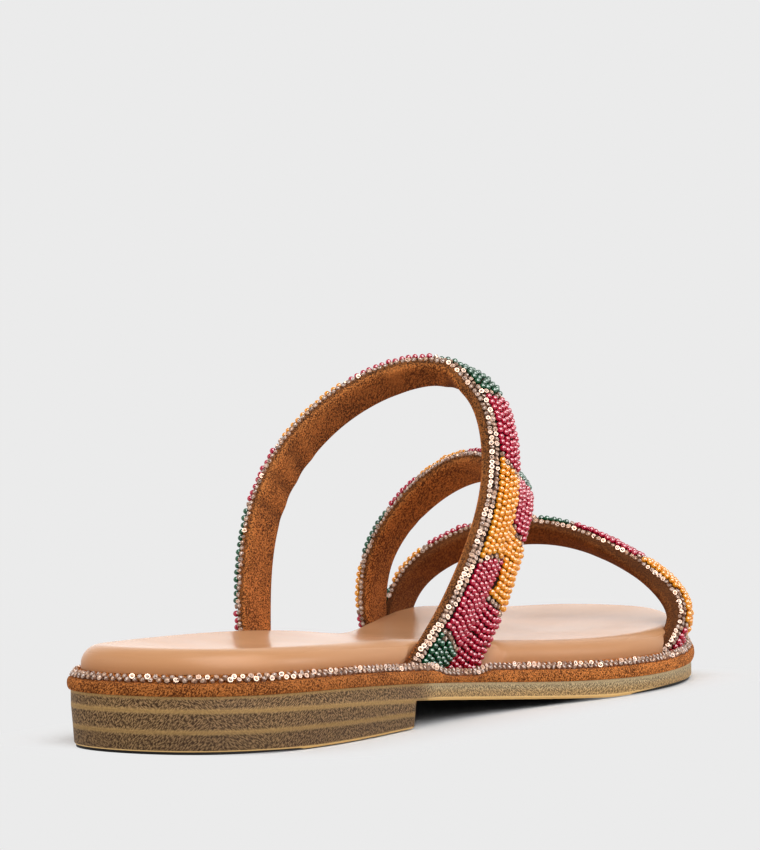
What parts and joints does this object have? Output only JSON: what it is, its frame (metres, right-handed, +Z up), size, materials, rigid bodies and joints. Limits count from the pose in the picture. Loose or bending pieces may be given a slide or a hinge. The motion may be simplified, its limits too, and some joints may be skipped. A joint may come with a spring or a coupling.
{
  "type": "flat sandal",
  "caption": "Flat slip-on sandal for the right foot: beaded straps in a zigzag over a padded leather footbed, crystal-edged suede rand and low stacked heel.",
  "frame": {"origin": "on the ground, at the middle of the sole's footprint box", "axes": "+X from heel to toe, +Y towards the medial side, +Z up"},
  "size_m": [0.25, 0.089, 0.087],
  "materials": {
    "stacked_sole": "taupe stacked board with fine speckle, satin",
    "rand_suede": "orange-brown suede, matte",
    "crystal": "clear and rose faceted stones in silver cups, glossy",
    "footbed_leather": "smooth beige leather, soft satin",
    "strap_suede": "brown suede lining, matte",
    "glass_bead": "round glass beads in red, yellow and green blocks, glossy"
  },
  "bodies": {
    "root": {"outsole": "stacked_sole", "heel_lift_upper": "stacked_sole", "heel_lift_lower": "stacked_sole", "midsole_rand": "rand_suede", "crystal_trim": "crystal", "footbed": "footbed_leather", "upper_straps": "strap_suede"}
  },
  "joints": []
}
